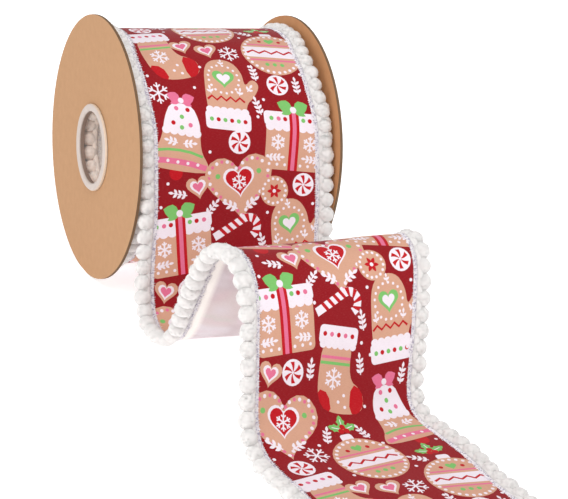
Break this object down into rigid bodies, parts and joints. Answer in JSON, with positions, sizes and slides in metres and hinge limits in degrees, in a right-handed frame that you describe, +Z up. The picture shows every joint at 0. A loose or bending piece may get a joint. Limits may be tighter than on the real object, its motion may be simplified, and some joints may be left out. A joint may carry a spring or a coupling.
{
  "type": "roll of christmas ribbon",
  "caption": "Spool of wide printed ribbon with pom-pom edges, standing on two chipboard discs, its loose end dipping, cresting and lying flat in front.",
  "frame": {"origin": "on the surface that the roll stands on, under the middle of its whole box", "axes": "+Z up, X along the spool's axis, and the loose end leaves the roll towards -Y"},
  "size_m": [0.1306, 0.431, 0.1521],
  "materials": {
    "chipboard": "matte kraft board",
    "hub": "matte white board",
    "cloth": "plain woven, printed on one side",
    "poms": "soft cut yarn"
  },
  "bodies": {
    "root": {"disc_left": "chipboard", "disc_right": "chipboard", "hub_left": "hub", "hub_right": "hub", "wound_ribbon": "cloth", "tail_ribbon": "cloth", "wound_trim_left": "poms", "wound_trim_right": "poms", "tail_trim_left": "poms", "tail_trim_right": "poms"}
  },
  "joints": []
}
